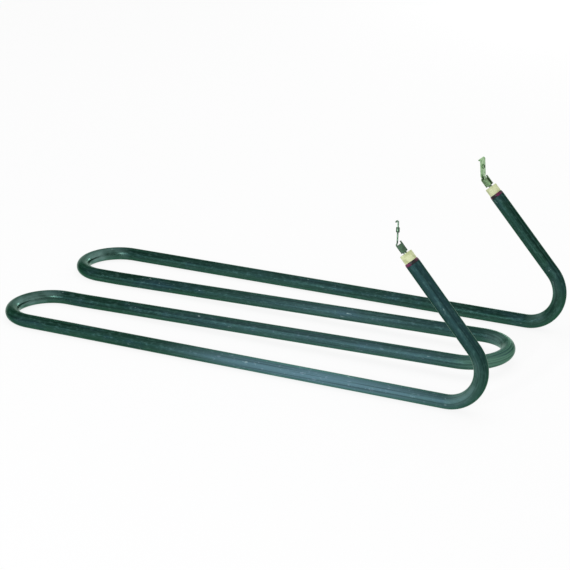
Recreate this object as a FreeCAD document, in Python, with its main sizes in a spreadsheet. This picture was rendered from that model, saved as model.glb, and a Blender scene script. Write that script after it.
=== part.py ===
"""A bare tubular heating element, lying flat as it would rest.

One long sheathed tube is bent into two outer runs and a middle hairpin. Both of its ends
turn up at the same side and lean back over the runs. Each end holds a cold pin, a seal,
a ceramic bush and a folded terminal tag.

The floor is Z 0, the runs lie along X, and the origin is the middle of the footprint.
The front leg is the one at minus Y.
"""

import FreeCAD, Part
import math
import os
import Sketcher

Vector = FreeCAD.Vector
Rotation = FreeCAD.Rotation
Placement = FreeCAD.Placement

ALONG = Vector(1, 0, 0)
ACROSS = Vector(0, 1, 0)
UP = Vector(0, 0, 1)

# The driving dimensions, in millimetres and degrees
SIZES = {
    # Sheath
    "tube_diameter": 8.5,
    "tube_wall": 0.7,
    "run_pitch": 45,
    "outer_run_length": 279,
    "rear_set_out": 4,
    # The middle hairpin stops short of the leg bends and climbs a little towards its far bend
    "hairpin_set_back": 15,
    "hairpin_rise": 5,
    "rise_start": 10,
    "rise_bend_radius": 200,
    # Legs
    "leg_bend_radius": 21,
    "front_leg_angle": 50,
    "rear_leg_angle": 49.4,
    "leg_length": 57.5,
    # Inside the sheath
    "fit_gap": 0.02,
    "coil_diameter": 3.4,
    "pin_diameter": 2.4,
    "pin_depth": 48,
    "pin_chamfer": 0.35,
    # End seal, a plug in the tube's mouth with a bead as wide as the tube standing on its rim
    "seal_depth": 9,
    "bead_height": 2,
    "bead_chamfer": 0.25,
    # Ceramic bush, its foot set in the bead
    "bush_diameter": 7.6,
    "bush_seat": 1.5,
    "bush_stand": 5.2,
    "bush_chamfer": 0.35,
    # Terminal tag, folded from one strip
    "strip_thickness": 0.8,
    "crimp_space": 0.9,
    "crimp_length": 5.1,
    "crimp_round": 0.3,
    "crimp_slot": 1.8,
    "ear_rise": 1.3,
    "ear_round": 0.5,
    "pin_recess": 0.2,
    # The neck leans well over the pin's end and is set back to the blade's lean
    "neck_lean": 62,
    "neck_bend_radius": 1,
    "neck_step": 0.5,
    "neck_width": 3.4,
    "neck_height": 1.6,
    "blade_lean": 38,
    "blade_width": 6.3,
    "blade_length": 11.3,
    "wire_hole_diameter": 1.6,
    "wire_hole_place": 7.1,
    "rim_diameter": 3,
    "rim_height": 0.6,
    "tip_curl_angle": 165,
    "tip_curl_radius": 0.6,
    "tip_lip_length": 0.4,
    "lip_round": 0.35,
    # How far each tag is turned about its pin
    "front_tag_turn": 27,
    "rear_tag_turn": -5,
}

doc = FreeCAD.newDocument("HeatingElement")
sheet = doc.addObject("Spreadsheet::Sheet", "Sizes")


def fill_sheet():
    """Writes each size beside its name and gives the cell that name."""
    for row, (name, value) in enumerate(SIZES.items(), start=1):
        sheet.set(f"A{row}", name)
        sheet.set(f"B{row}", str(value))
        sheet.setAlias(f"B{row}", name)
    doc.recompute()


def size(formula):
    """The value of a formula on the sheet's names, such as 'tube_diameter / 2'."""
    return float(sheet.evalExpression(formula))


def bind(item, prop, formula):
    """Ties a property to the sheet; the names in the formula are the sheet's."""
    words = formula.replace("(", " ( ").replace(")", " ) ").split()
    linked = [f"Sizes.{word}" if word in SIZES else word for word in words]
    item.setExpression(prop, " ".join(linked))


fill_sheet()

TUBE_RADIUS = size("tube_diameter / 2")
BORE_RADIUS = size("tube_diameter / 2 - tube_wall")


# The tube's route


class Bender:
    """Follows a tube or strip as it is fed and bent, one straight or arc after another."""

    def __init__(self, place, heading):
        self.place = place
        self.heading = heading
        self.edges = []

    def feed(self, length):
        """Goes straight on."""
        end = self.place + self.heading * length
        self.edges.append(Part.LineSegment(self.place, end).toShape())
        self.place = end

    def bend(self, radius, angle, axle):
        """Turns right-handed about a line along axle, with the centre line at this radius."""
        centre = self.place + axle.cross(self.heading) * radius
        arm = self.place - centre
        middle = centre + Rotation(axle, angle / 2).multVec(arm)
        end = centre + Rotation(axle, angle).multVec(arm)
        self.edges.append(Part.Arc(self.place, middle, end).toShape())
        self.heading = Rotation(axle, angle).multVec(self.heading)
        self.place = end

    def wire(self):
        return Part.Wire(self.edges)

    def here(self):
        """Where the work stands, with local Z along the heading and local Y across."""
        face = ACROSS.cross(self.heading)
        return Placement(self.place, Rotation(face, ACROSS, self.heading, "ZXY"))


def frame_origin():
    """The middle of the footprint, seen from the front left bend's centre, at run height."""
    left = -size("rear_set_out + run_pitch / 2") - TUBE_RADIUS
    right = size("outer_run_length + leg_bend_radius") + TUBE_RADIUS
    return Vector((left + right) / 2, 0, -TUBE_RADIUS)


def leg_angle(side):
    """How steeply a leg stands on the floor, in degrees. Side is -1 front, 1 rear."""
    return size("front_leg_angle" if side < 0 else "rear_leg_angle")


def leg_mouth(side):
    """The mouth of a leg, local Z pointing out of the tube."""
    tilt = Rotation(ACROSS, leg_angle(side) - 90)
    outward = tilt.multVec(UP)
    bend_radius = size("leg_bend_radius")
    bend_centre = Vector(size("outer_run_length"), side * size("run_pitch * 1.5"), bend_radius)
    root = bend_centre + tilt.multVec(ALONG) * bend_radius
    mouth = root + outward * size("leg_length") - frame_origin()
    return Placement(mouth, tilt)


def centre_line(name, inset):
    """The tube's centre line from mouth to mouth, both ends drawn back by the inset."""
    mouth = leg_mouth(-1)
    start = mouth.multVec(Vector(0, 0, -inset))
    inward = mouth.Rotation.multVec(UP) * -1
    leg = size("leg_length") - inset
    outer_run = size("outer_run_length")
    set_out = size("rear_set_out")
    u_bend = size("run_pitch / 2")
    leg_bend = size("leg_bend_radius")
    level = size("rise_start")
    climb = size("outer_run_length - hairpin_set_back - rise_start")
    rise_bend = size("rise_bend_radius")
    rise_angle = math.degrees(math.asin(size("hairpin_rise") / climb))

    tube = Bender(start, inward)
    tube.feed(leg)
    tube.bend(leg_bend, 180 - leg_angle(-1), ACROSS)
    tube.feed(outer_run)
    tube.bend(u_bend, 180, -UP)
    tube.feed(level)
    tube.bend(rise_bend, rise_angle, -ACROSS)
    tube.feed(climb)
    tube.bend(u_bend, 180, tube.heading.cross(ACROSS))
    tube.feed(climb)
    tube.bend(rise_bend, rise_angle, ACROSS)
    tube.feed(level + set_out)
    tube.bend(u_bend, 180, -UP)
    tube.feed(outer_run + set_out)
    tube.bend(leg_bend, 180 - leg_angle(1), -ACROSS)
    tube.feed(leg)

    line = doc.addObject("Part::Feature", name)
    line.Shape = tube.wire()
    return line


def round_bar(name, line, radius, inset):
    """A solid bar of round section along the centre line."""
    section = doc.addObject("Part::Circle", name + "Section")
    bind(section, "Radius", radius)
    section.Placement = leg_mouth(-1) * Placement(Vector(0, 0, -inset), Rotation())
    bar = doc.addObject("Part::Sweep", name)
    bar.Sections = [section]
    bar.Spine = (line, [f"Edge{n + 1}" for n in range(len(line.Shape.Edges))])
    bar.Solid = True
    bar.Frenet = False
    return bar


# Sheath, coil and packed powder


def make_sheath():
    """The bent tube: an outer bar with the bore taken out of it, open at both mouths."""
    line = centre_line("SheathLine", 0)
    outside = round_bar("SheathOutside", line, "tube_diameter / 2", 0)
    bore = round_bar("SheathBore", line, "tube_diameter / 2 - tube_wall", 0)
    sheath = doc.addObject("Part::Cut", "Sheath")
    sheath.Base = outside
    sheath.Tool = bore
    sheath.Label = "sheath"
    return sheath


def make_coil():
    """The wound wire, drawn as one bar of the winding's outside size."""
    inset = size("pin_depth + fit_gap")
    line = centre_line("CoilLine", inset)
    coil = round_bar("Coil", line, "coil_diameter / 2", inset)
    coil.Label = "resistance_coil"
    return coil


def make_core():
    """The packed powder, from seal to seal, with room for the coil and both pins."""
    inset = size("seal_depth + fit_gap")
    line = centre_line("CoreLine", inset)
    fill = round_bar("CoreFill", line, "tube_diameter / 2 - tube_wall - fit_gap", inset)

    room_inset = size("pin_depth")
    room_line = centre_line("CoilRoomLine", room_inset)
    coil_room = round_bar("CoilRoom", room_line, "coil_diameter / 2 + fit_gap", room_inset)

    rooms = [coil_room]
    for name, side in (("Front", -1), ("Rear", 1)):
        room = doc.addObject("Part::Cylinder", f"PinRoom{name}")
        bind(room, "Radius", "pin_diameter / 2 + fit_gap")
        bind(room, "Height", "pin_depth")
        room.Placement = leg_mouth(side) * Placement(Vector(0, 0, -room_inset), Rotation())
        rooms.append(room)
    all_rooms = doc.addObject("Part::MultiFuse", "CoreRooms")
    all_rooms.Shapes = rooms

    core = doc.addObject("Part::Cut", "Core")
    core.Base = fill
    core.Tool = all_rooms
    core.Label = "magnesia_core"
    return core


# Turned and moulded pieces at each mouth


def turned_piece(name, label, side, corners):
    """A body spun from a half section. Each corner is a radius and a height above the mouth."""
    body = doc.addObject("PartDesign::Body", name)
    body.Label = label
    planes = {item.Role: item for item in body.Origin.OriginFeatures}
    sketch = body.newObject("Sketcher::SketchObject", name + "Section")
    sketch.AttachmentSupport = (planes["XZ_Plane"], "")
    sketch.MapMode = "FlatFace"

    points = [Vector(size(radius), size(height), 0) for radius, height in corners]
    count = len(points)
    for n in range(count):
        sketch.addGeometry(Part.LineSegment(points[n], points[(n + 1) % count]), False)
    for n in range(count):
        sketch.addConstraint(Sketcher.Constraint("Coincident", n, 2, (n + 1) % count, 1))
    for n, formulas in enumerate(corners):
        for kind, formula, value in zip("XY", formulas, (points[n].x, points[n].y)):
            if value == 0:
                axis = -2 if kind == "X" else -1
                sketch.addConstraint(Sketcher.Constraint("PointOnObject", n, 1, axis))
                continue
            held = sketch.addConstraint(Sketcher.Constraint("Distance" + kind, -1, 1, n, 1, value))
            sketch.renameConstraint(held, f"Corner{n}{kind}")
            bind(sketch, f"Constraints.Corner{n}{kind}", formula)

    spin = body.newObject("PartDesign::Revolution", name + "Spin")
    spin.Profile = sketch
    spin.ReferenceAxis = (planes["Z_Axis"], [""])
    spin.Angle = 360
    sketch.Visibility = False
    body.Placement = leg_mouth(side)
    return body


def make_pin(name, place, side):
    """The cold pin, from the coil's end out through the bush into the tag's crimp."""
    top = "bead_height + bush_stand + crimp_space + crimp_length - pin_recess"
    radius = "pin_diameter / 2"
    return turned_piece(f"Pin{name}", f"terminal_pin_{place}", side, [
        ("0", "- pin_depth"),
        (radius, "- pin_depth"),
        (radius, f"{top} - pin_chamfer"),
        (f"{radius} - pin_chamfer", top),
        ("0", top),
    ])


def make_seal(name, place, side):
    """The seal: a plug in the tube and a bead on its rim, with a recess for the bush."""
    pin = "pin_diameter / 2 + fit_gap"
    bore = "tube_diameter / 2 - tube_wall - fit_gap"
    bush = "bush_diameter / 2 + fit_gap"
    bead = "tube_diameter / 2"
    return turned_piece(f"Seal{name}", f"end_seal_{place}", side, [
        (pin, "- seal_depth"),
        (bore, "- seal_depth"),
        (bore, "fit_gap"),
        (bead, "fit_gap"),
        (bead, "bead_height - bead_chamfer"),
        (f"{bead} - bead_chamfer", "bead_height"),
        (bush, "bead_height"),
        (bush, "bead_height - bush_seat - fit_gap"),
        (pin, "bead_height - bush_seat - fit_gap"),
    ])


def make_bush(name, place, side):
    """The ceramic bush: a plain sleeve set in the seal's bead and standing above it."""
    pin = "pin_diameter / 2 + fit_gap"
    outside = "bush_diameter / 2"
    foot = "bead_height - bush_seat"
    top = "bead_height + bush_stand"
    return turned_piece(f"Bush{name}", f"ceramic_bush_{place}", side, [
        (pin, foot),
        (f"{outside} - bush_chamfer", foot),
        (outside, f"{foot} + bush_chamfer"),
        (outside, f"{top} - bush_chamfer"),
        (f"{outside} - bush_chamfer", top),
        (pin, top),
    ])


# Terminal tag


def block(name, length, width, height, centre):
    """A box of bound sizes, standing on the centre of its underside."""
    box = doc.addObject("Part::Box", name)
    bind(box, "Length", length)
    bind(box, "Width", width)
    bind(box, "Height", height)
    box.Placement.Base = centre - Vector(size(length) / 2, size(width) / 2, 0)
    return box


def rod(name, radius, height, placement):
    """A cylinder of bound sizes, centred on its placement and lying along its local X."""
    cylinder = doc.addObject("Part::Cylinder", name)
    bind(cylinder, "Radius", radius)
    bind(cylinder, "Height", height)
    centred = Placement(Vector(-size(height) / 2, 0, 0), Rotation(ACROSS, 90))
    cylinder.Placement = placement * centred
    return cylinder


def rounded(name, base, radius, wanted):
    """A copy of the base with a round on each edge that the test wants."""
    fillet = doc.addObject("Part::Fillet", name)
    fillet.Base = base
    doc.recompute()
    radius = size(radius)
    numbered = enumerate(base.Shape.Edges, start=1)
    fillet.Edges = [(number, radius, radius) for number, edge in numbered if wanted(edge)]
    return fillet


def folded_strip(name, foot):
    """The strip bent to its side view: up the pin, cranked over its end, tip curled back."""
    neck_bend = size("neck_bend_radius")
    strip = Bender(Vector(-size("pin_diameter / 2 + fit_gap + strip_thickness / 2"), 0, foot), UP)
    strip.feed(size("crimp_length"))
    strip.bend(neck_bend, size("neck_lean"), ACROSS)
    strip.feed(size("neck_step"))
    strip.bend(neck_bend, size("neck_lean - blade_lean"), -ACROSS)
    blade = strip.here()
    strip.feed(size("blade_length"))
    strip.bend(size("tip_curl_radius"), size("tip_curl_angle"), -ACROSS)
    strip.feed(size("tip_lip_length"))

    line = doc.addObject("Part::Feature", name + "Line")
    line.Shape = strip.wire()
    section = doc.addObject("Part::Plane", name + "Section")
    bind(section, "Length", "strip_thickness")
    bind(section, "Width", "blade_width")
    corner = Vector(-size("strip_thickness / 2"), -size("blade_width / 2"), 0)
    section.Placement.Base = line.Shape.Edges[0].firstVertex().Point + corner
    sweep = doc.addObject("Part::Sweep", name)
    sweep.Sections = [section]
    sweep.Spine = (line, [f"Edge{n + 1}" for n in range(len(line.Shape.Edges))])
    sweep.Solid = True
    sweep.Frenet = False

    thickness = size("strip_thickness")

    def lip_corner(edge):
        beyond = (edge.CenterOfMass - strip.place).dot(strip.heading)
        return abs(beyond) < 0.001 and abs(edge.Length - thickness) < 0.001

    return rounded(name + "Rounded", sweep, "lip_round", lip_corner), blade


def make_tag(name, place, side, turn):
    """The tag: a strip crimped round the pin, with a cranked neck, a blade and a curled tip."""
    foot = size("bead_height + bush_stand + crimp_space")
    strip, blade = folded_strip(f"Strip{name}", foot)

    crimp_block = block(
        f"Crimp{name}",
        "pin_diameter + 2 * ( fit_gap + strip_thickness )",
        "pin_diameter + 2 * ( fit_gap + strip_thickness )",
        "crimp_length",
        Vector(0, 0, foot),
    )

    def long_edge(edge):
        return abs(edge.tangentAt(edge.FirstParameter).z) > 0.999

    crimp = rounded(f"CrimpRounded{name}", crimp_block, "crimp_round", long_edge)

    # The crimp's two ears stand higher than its back, where the neck starts
    crimp_top = foot + size("crimp_length")
    ear_block = block(
        f"Ears{name}",
        "strip_thickness",
        "pin_diameter + 2 * ( fit_gap + strip_thickness - crimp_round )",
        "ear_rise",
        Vector(size("( pin_diameter + strip_thickness ) / 2 + fit_gap"), 0, crimp_top),
    )

    def top_corner(edge):
        high = edge.CenterOfMass.z > crimp_top + size("ear_rise / 2")
        return high and abs(edge.tangentAt(edge.FirstParameter).x) > 0.999

    ears = rounded(f"EarsRounded{name}", ear_block, "ear_round", top_corner)
    hole_place = blade * Placement(Vector(0, 0, size("wire_hole_place")), Rotation())
    rim = rod(f"Rim{name}", "rim_diameter / 2", "strip_thickness + 2 * rim_height", hole_place)

    # Waste taken off both sides of the foot and neck before the crimp is added
    waste = []
    trim = "( blade_width - neck_width ) / 2"
    for hand in (-1, 1):
        middle = hand * size("( blade_width + neck_width ) / 4")
        start = Vector(-size("pin_diameter / 2 + strip_thickness"), middle, foot)
        waste.append(block(
            f"Waste{name}{'Left' if hand < 0 else 'Right'}",
            "8 * strip_thickness",
            trim,
            "crimp_length + neck_height",
            start,
        ))
    trimmed = doc.addObject("Part::Cut", f"TrimmedStrip{name}")
    trimmed.Base = strip
    waste_pair = doc.addObject("Part::MultiFuse", f"Waste{name}")
    waste_pair.Shapes = waste
    trimmed.Tool = waste_pair

    joined = doc.addObject("Part::MultiFuse", f"Joined{name}")
    joined.Shapes = [trimmed, crimp, ears, rim]
    joined.Refine = True

    # The pin's room, the slot between the two rolled ears, and the wire hole
    pin_room = doc.addObject("Part::Cylinder", f"TagPinRoom{name}")
    bind(pin_room, "Radius", "pin_diameter / 2 + fit_gap")
    bind(pin_room, "Height", "crimp_length")
    pin_room.Placement.Base = Vector(0, 0, foot)
    slot = block(
        f"Slot{name}",
        "pin_diameter",
        "crimp_slot",
        "crimp_length + ear_rise",
        Vector(size("pin_diameter / 2"), 0, foot),
    )
    hole = rod(
        f"WireHole{name}",
        "wire_hole_diameter / 2",
        "2 * ( strip_thickness + 2 * rim_height )",
        hole_place,
    )
    rooms = doc.addObject("Part::MultiFuse", f"TagRooms{name}")
    rooms.Shapes = [pin_room, slot, hole]

    tag = doc.addObject("Part::Cut", f"Tag{name}")
    tag.Base = joined
    tag.Tool = rooms
    tag.Label = f"terminal_tag_{place}"
    tag.Placement = leg_mouth(side) * Placement(Vector(0, 0, 0), Rotation(UP, turn))
    return tag


# Build, check and write


def build():
    pieces = [make_sheath(), make_coil(), make_core()]
    for name, place, side in (("Front", "front", -1), ("Rear", "rear", 1)):
        pieces.append(make_pin(name, place, side))
        pieces.append(make_seal(name, place, side))
        pieces.append(make_bush(name, place, side))
        pieces.append(make_tag(name, place, side, size(f"{place}_tag_turn")))
    doc.recompute()
    return pieces


def check(pieces):
    """Stops if any object failed, any piece is empty or invalid, or the tube lost volume."""
    for item in doc.Objects:
        if "Invalid" in item.State or "Error" in item.State:
            raise RuntimeError(f"{item.Name} did not build: {item.State}")
    for piece in pieces:
        if piece.Shape.isNull() or not piece.Shape.isValid() or not piece.Shape.Solids:
            raise RuntimeError(f"{piece.Label} has no valid solid")
    ring = math.pi * (TUBE_RADIUS ** 2 - BORE_RADIUS ** 2)
    expected = ring * doc.SheathLine.Shape.Length
    found = doc.Sheath.Shape.Volume
    print(f"sheath: {doc.SheathLine.Shape.Length:.1f} mm long, {found:.0f} of {expected:.0f} mm3")
    if abs(found / expected - 1) > 0.001:
        raise RuntimeError("the sheath's volume is not its section times its length")


def write(pieces):
    os.makedirs("parts", exist_ok=True)
    for piece in pieces:
        piece.Shape.exportStep(f"parts/{piece.Label}.step")
        box = piece.Shape.BoundBox
        print(f"{piece.Label}: {len(piece.Shape.Solids)} solid, {piece.Shape.Volume:.1f} mm3, "
              f"x {box.XMin:.1f} to {box.XMax:.1f}, y {box.YMin:.1f} to {box.YMax:.1f}, "
              f"z {box.ZMin:.1f} to {box.ZMax:.1f}")


pieces = build()
check(pieces)
write(pieces)
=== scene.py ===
# %% [markdown]
# # A bare tubular heating element
#
# A tubular element is one long steel tube. A coil of resistance wire runs down its middle and
# packed magnesia powder keeps the two apart. The tube is bent cold into side-by-side runs, and
# both ends stand up out of the hot zone. Each end carries a red seal, a ceramic bush and a tag
# for the supply wire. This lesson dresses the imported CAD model: the tube, seals, bushes, pins
# and tags are modelled again with softer edges, and the hidden core gets finishes only.

# %% Open the frame
import math

import bmesh
import bpy
import numpy as np
from mathutils import Matrix, Vector


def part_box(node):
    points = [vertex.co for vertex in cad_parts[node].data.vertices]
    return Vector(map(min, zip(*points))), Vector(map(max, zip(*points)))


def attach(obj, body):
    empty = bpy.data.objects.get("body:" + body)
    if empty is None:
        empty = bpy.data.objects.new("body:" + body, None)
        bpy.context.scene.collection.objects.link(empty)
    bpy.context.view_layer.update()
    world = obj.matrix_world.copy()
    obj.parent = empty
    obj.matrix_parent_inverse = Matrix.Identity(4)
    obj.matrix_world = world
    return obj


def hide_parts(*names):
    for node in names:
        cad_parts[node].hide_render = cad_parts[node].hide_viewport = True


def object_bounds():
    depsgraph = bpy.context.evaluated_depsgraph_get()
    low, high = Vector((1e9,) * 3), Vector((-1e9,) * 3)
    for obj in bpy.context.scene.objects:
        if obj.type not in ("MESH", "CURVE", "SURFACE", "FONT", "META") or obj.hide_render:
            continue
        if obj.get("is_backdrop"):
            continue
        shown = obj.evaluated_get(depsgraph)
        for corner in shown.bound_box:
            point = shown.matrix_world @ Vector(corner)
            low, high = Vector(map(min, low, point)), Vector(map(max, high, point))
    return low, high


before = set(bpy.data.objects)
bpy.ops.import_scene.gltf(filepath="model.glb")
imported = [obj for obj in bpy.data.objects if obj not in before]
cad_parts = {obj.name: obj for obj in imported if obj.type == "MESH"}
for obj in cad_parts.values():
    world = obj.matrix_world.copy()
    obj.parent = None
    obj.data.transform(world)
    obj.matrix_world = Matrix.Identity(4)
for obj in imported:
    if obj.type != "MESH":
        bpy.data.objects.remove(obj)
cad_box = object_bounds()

low, high = cad_box
print("CAD box in mm:", [round((b - a) * 1000, 1) for a, b in zip(low, high)])

# %% [markdown]
# ## Sizes
#
# Blender works in metres and a tube bender thinks in millimetres, so every size is written in
# millimetres and multiplied once. The names are the ones a maker would use. The tube's own
# diameter is the scale for everything else.

# %% Sizes of the tube
MM = 0.001

TUBE_RADIUS = 4.25 * MM
TUBE_WALL = 0.7 * MM
RUN_PITCH = 45 * MM
OUTER_RUN = 279 * MM
REAR_SET_OUT = 4 * MM
HAIRPIN_SET_BACK = 15 * MM
HAIRPIN_RISE = 5 * MM
RISE_START = 10 * MM
RISE_BEND_RADIUS = 200 * MM
LEG_BEND_RADIUS = 21 * MM
LEG_LENGTH = 57.5 * MM
FRONT_LEG_ANGLE = math.radians(50)
REAR_LEG_ANGLE = math.radians(49.4)
TUBE_BORE = TUBE_RADIUS - TUBE_WALL

ALONG = Vector((1, 0, 0))
ACROSS = Vector((0, 1, 0))
UP = Vector((0, 0, 1))
HALF_TURN = math.pi

# %% [markdown]
# ## Where the tube starts
#
# The frame's origin is the middle of the footprint on the floor. Each leg's mouth is found from
# the bend at its foot. The printed lines show it beside the middle of the CAD seal, which reaches
# from 9 mm inside the mouth to 2 mm outside.

# %% Find the two mouths
SIDES = {"front": -1, "rear": 1}


def frame_origin():
    """The footprint's middle, counted from midway between the runs at their left end."""
    left = -(REAR_SET_OUT + RUN_PITCH / 2 + TUBE_RADIUS)
    right = OUTER_RUN + LEG_BEND_RADIUS + TUBE_RADIUS
    return Vector(((left + right) / 2, 0, -TUBE_RADIUS))


def leg_angle(side):
    """How steeply a leg stands on the floor. Side is -1 front, 1 rear."""
    return FRONT_LEG_ANGLE if side < 0 else REAR_LEG_ANGLE


def leg_tilt(side):
    """The turn that lays local Z along a leg, out of the tube."""
    return Matrix.Rotation(leg_angle(side) - HALF_TURN / 2, 3, ACROSS)


def leg_mouth(side):
    """The middle of a leg's open end."""
    bend_centre = Vector((OUTER_RUN, side * RUN_PITCH * 1.5, LEG_BEND_RADIUS))
    root = bend_centre + leg_tilt(side) @ ALONG * LEG_BEND_RADIUS
    return root + leg_tilt(side) @ UP * LEG_LENGTH - frame_origin()


for place, side in SIDES.items():
    seal_low, seal_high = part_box(f"end_seal_{place}")
    print(place, "mouth", [round(c / MM, 2) for c in leg_mouth(side)],
          "seal centre", [round(c / MM, 2) for c in (seal_low + seal_high) / 2])

# %% [markdown]
# ## Working in edit mode
#
# An operator acts on all that is selected. So each step first lets go of everything, and then
# picks its vertices or edges in code, by where they are.

# %% Selection helpers
NEAR = 0.005 * MM


def let_go():
    """Leaves edit mode and leaves nothing selected."""
    if bpy.context.object and bpy.context.object.mode != "OBJECT":
        bpy.ops.object.mode_set(mode="OBJECT")
    bpy.ops.object.select_all(action="DESELECT")


def pick(piece, mode="OBJECT"):
    """Makes a piece the only one selected."""
    let_go()
    bpy.context.view_layer.objects.active = piece
    piece.select_set(True)
    bpy.ops.object.mode_set(mode=mode)


def pick_vertices(piece, wanted):
    """In edit mode, selects the vertices that the test wants and what they enclose."""
    bpy.ops.mesh.select_mode(type="VERT")
    bpy.ops.mesh.select_all(action="DESELECT")
    mesh = bmesh.from_edit_mesh(piece.data)
    for vertex in mesh.verts:
        vertex.select = wanted(vertex.co)
    mesh.select_flush(True)
    bmesh.update_edit_mesh(piece.data)


def pick_edges(piece, wanted):
    """In edit mode, selects the edges that the test wants."""
    bpy.ops.mesh.select_mode(type="EDGE")
    bpy.ops.mesh.select_all(action="DESELECT")
    mesh = bmesh.from_edit_mesh(piece.data)
    for edge in mesh.edges:
        edge.select = wanted(edge)
    mesh.select_flush(False)
    bmesh.update_edit_mesh(piece.data)


# %% [markdown]
# A finished piece has its doubled points merged, its faces turned outwards and its soft curves
# shaded smooth. Its place then goes into its mesh, so that the object itself stays at the origin,
# where the export expects it.

# %% Finishing helpers
def close_up(piece):
    """Merges doubled vertices and turns the faces outwards."""
    pick(piece, "EDIT")
    bpy.ops.mesh.select_all(action="SELECT")
    bpy.ops.mesh.remove_doubles(threshold=NEAR)
    bpy.ops.mesh.normals_make_consistent(inside=False)
    bpy.ops.object.mode_set(mode="OBJECT")


def apply_modifiers(piece):
    """Makes each modifier's result the piece's own mesh."""
    pick(piece)
    for name in [modifier.name for modifier in piece.modifiers]:
        bpy.ops.object.modifier_apply(modifier=name)


def smooth(piece, degrees=35):
    """Shades soft curves smooth and leaves the real edges sharp."""
    pick(piece)
    bpy.ops.object.shade_smooth_by_angle(angle=math.radians(degrees))


def settle(piece, body="root"):
    """Puts the place in the mesh, so the object itself sits at the origin, and rides the body."""
    pick(piece)
    bpy.ops.object.transform_apply(location=True, rotation=True, scale=True)
    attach(piece, body)
    print(f"{piece.name}: {len(piece.data.vertices)} vertices, {len(piece.data.polygons)} faces")


# %% [markdown]
# ## Following a route
#
# A tube bender feeds straight tube and bends arcs. The Bender below does the same to whatever
# is selected: it extrudes it for a straight and spins it for a bend. It notes each place where
# it stops, because the finish later needs to know how far along the tube each point lies, and
# where a tight bend has squeezed the metal.

# %% The bender
BEND_STEP = math.radians(4)
TIGHT_RADIUS = 23 * MM


class Bender:
    """Extrudes the selected edges along straights and bends, and notes each stop."""

    def __init__(self, place, heading, side):
        self.place = place
        self.heading = heading
        self.side = side
        self.along = 0.0
        self.stops = []
        self.note()

    def note(self, squeeze=Vector()):
        """Keeps this stop: its place, its side, how far along it is, and its squeeze."""
        self.stops.append((self.place.copy(), self.side.copy(), self.along, squeeze))

    def feed(self, length):
        """Goes straight on."""
        bpy.ops.mesh.extrude_region_move(TRANSFORM_OT_translate={"value": self.heading * length})
        self.place = self.place + self.heading * length
        self.along += length
        self.note()

    def bend(self, radius, angle, axle, step=BEND_STEP):
        """Turns right-handed about the axle. The spin operator counts the other way."""
        steps = max(2, round(angle / step))
        centre = self.place + axle.cross(self.heading) * radius
        bpy.ops.mesh.spin(steps=steps, angle=-angle, center=centre, axis=axle)
        turn = Matrix.Rotation(angle / steps, 3, axle)
        tightness = min(1.0, TIGHT_RADIUS / radius)
        for done in range(1, steps + 1):
            self.place = centre + turn @ (self.place - centre)
            self.heading = turn @ self.heading
            self.side = turn @ self.side
            self.along += radius * angle / steps
            inward = axle.cross(self.heading)
            self.note(inward * tightness * math.sin(HALF_TURN * done / steps))


# %% [markdown]
# ## The sheath
#
# The real sheath is one seamless steel tube, so it is one piece here. A circle is placed in the
# front leg's mouth and follows the bends to the rear leg's mouth. Solidify then gives the tube
# its 0.7 mm wall, inwards, so the outside stays at its true size.

# %% Bend the sheath
RING_SIDES = 40


def bend_sheath():
    """The tube's outer skin from mouth to mouth, and the stops of its centre line."""
    let_go()
    bpy.ops.mesh.primitive_circle_add(
        vertices=RING_SIDES, radius=TUBE_RADIUS, fill_type="NOTHING",
        location=leg_mouth(-1), rotation=leg_tilt(-1).to_euler())
    skin = bpy.context.object
    skin.name = "bent_sheath"
    bpy.ops.object.mode_set(mode="EDIT")
    bpy.ops.mesh.select_all(action="SELECT")

    u_bend = RUN_PITCH / 2
    climb = OUTER_RUN - HAIRPIN_SET_BACK - RISE_START
    rise_angle = math.asin(HAIRPIN_RISE / climb)

    tube = Bender(leg_mouth(-1), leg_tilt(-1) @ -UP, ACROSS)
    tube.feed(LEG_LENGTH)
    tube.bend(LEG_BEND_RADIUS, HALF_TURN - leg_angle(-1), ACROSS)
    tube.feed(OUTER_RUN)
    tube.bend(u_bend, HALF_TURN, -UP)
    tube.feed(RISE_START)
    tube.bend(RISE_BEND_RADIUS, rise_angle, -ACROSS)
    tube.feed(climb)
    tube.bend(u_bend, HALF_TURN, tube.heading.cross(ACROSS))
    tube.feed(climb)
    tube.bend(RISE_BEND_RADIUS, rise_angle, ACROSS)
    tube.feed(RISE_START + REAR_SET_OUT)
    tube.bend(u_bend, HALF_TURN, -UP)
    tube.feed(OUTER_RUN + REAR_SET_OUT)
    tube.bend(LEG_BEND_RADIUS, HALF_TURN - leg_angle(1), -ACROSS)
    tube.feed(LEG_LENGTH)
    miss = (tube.place - leg_mouth(1)).length / MM
    print(f"tube: {tube.along / MM:.1f} mm long, ends {miss:.4f} mm from the rear mouth")
    return skin, tube.stops


sheath, tube_stops = bend_sheath()
close_up(sheath)
pick(sheath)
bpy.ops.object.transform_apply(location=True, rotation=True, scale=True)

# %% Give the tube its wall
wall = sheath.modifiers.new("wall", "SOLIDIFY")
wall.thickness = TUBE_WALL
wall.offset = -1
wall.use_even_offset = True
apply_modifiers(sheath)
smooth(sheath)
print(f"{sheath.name}: wall {TUBE_WALL / MM:.1f} mm, bore {2 * TUBE_BORE / MM:.1f} mm")
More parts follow.
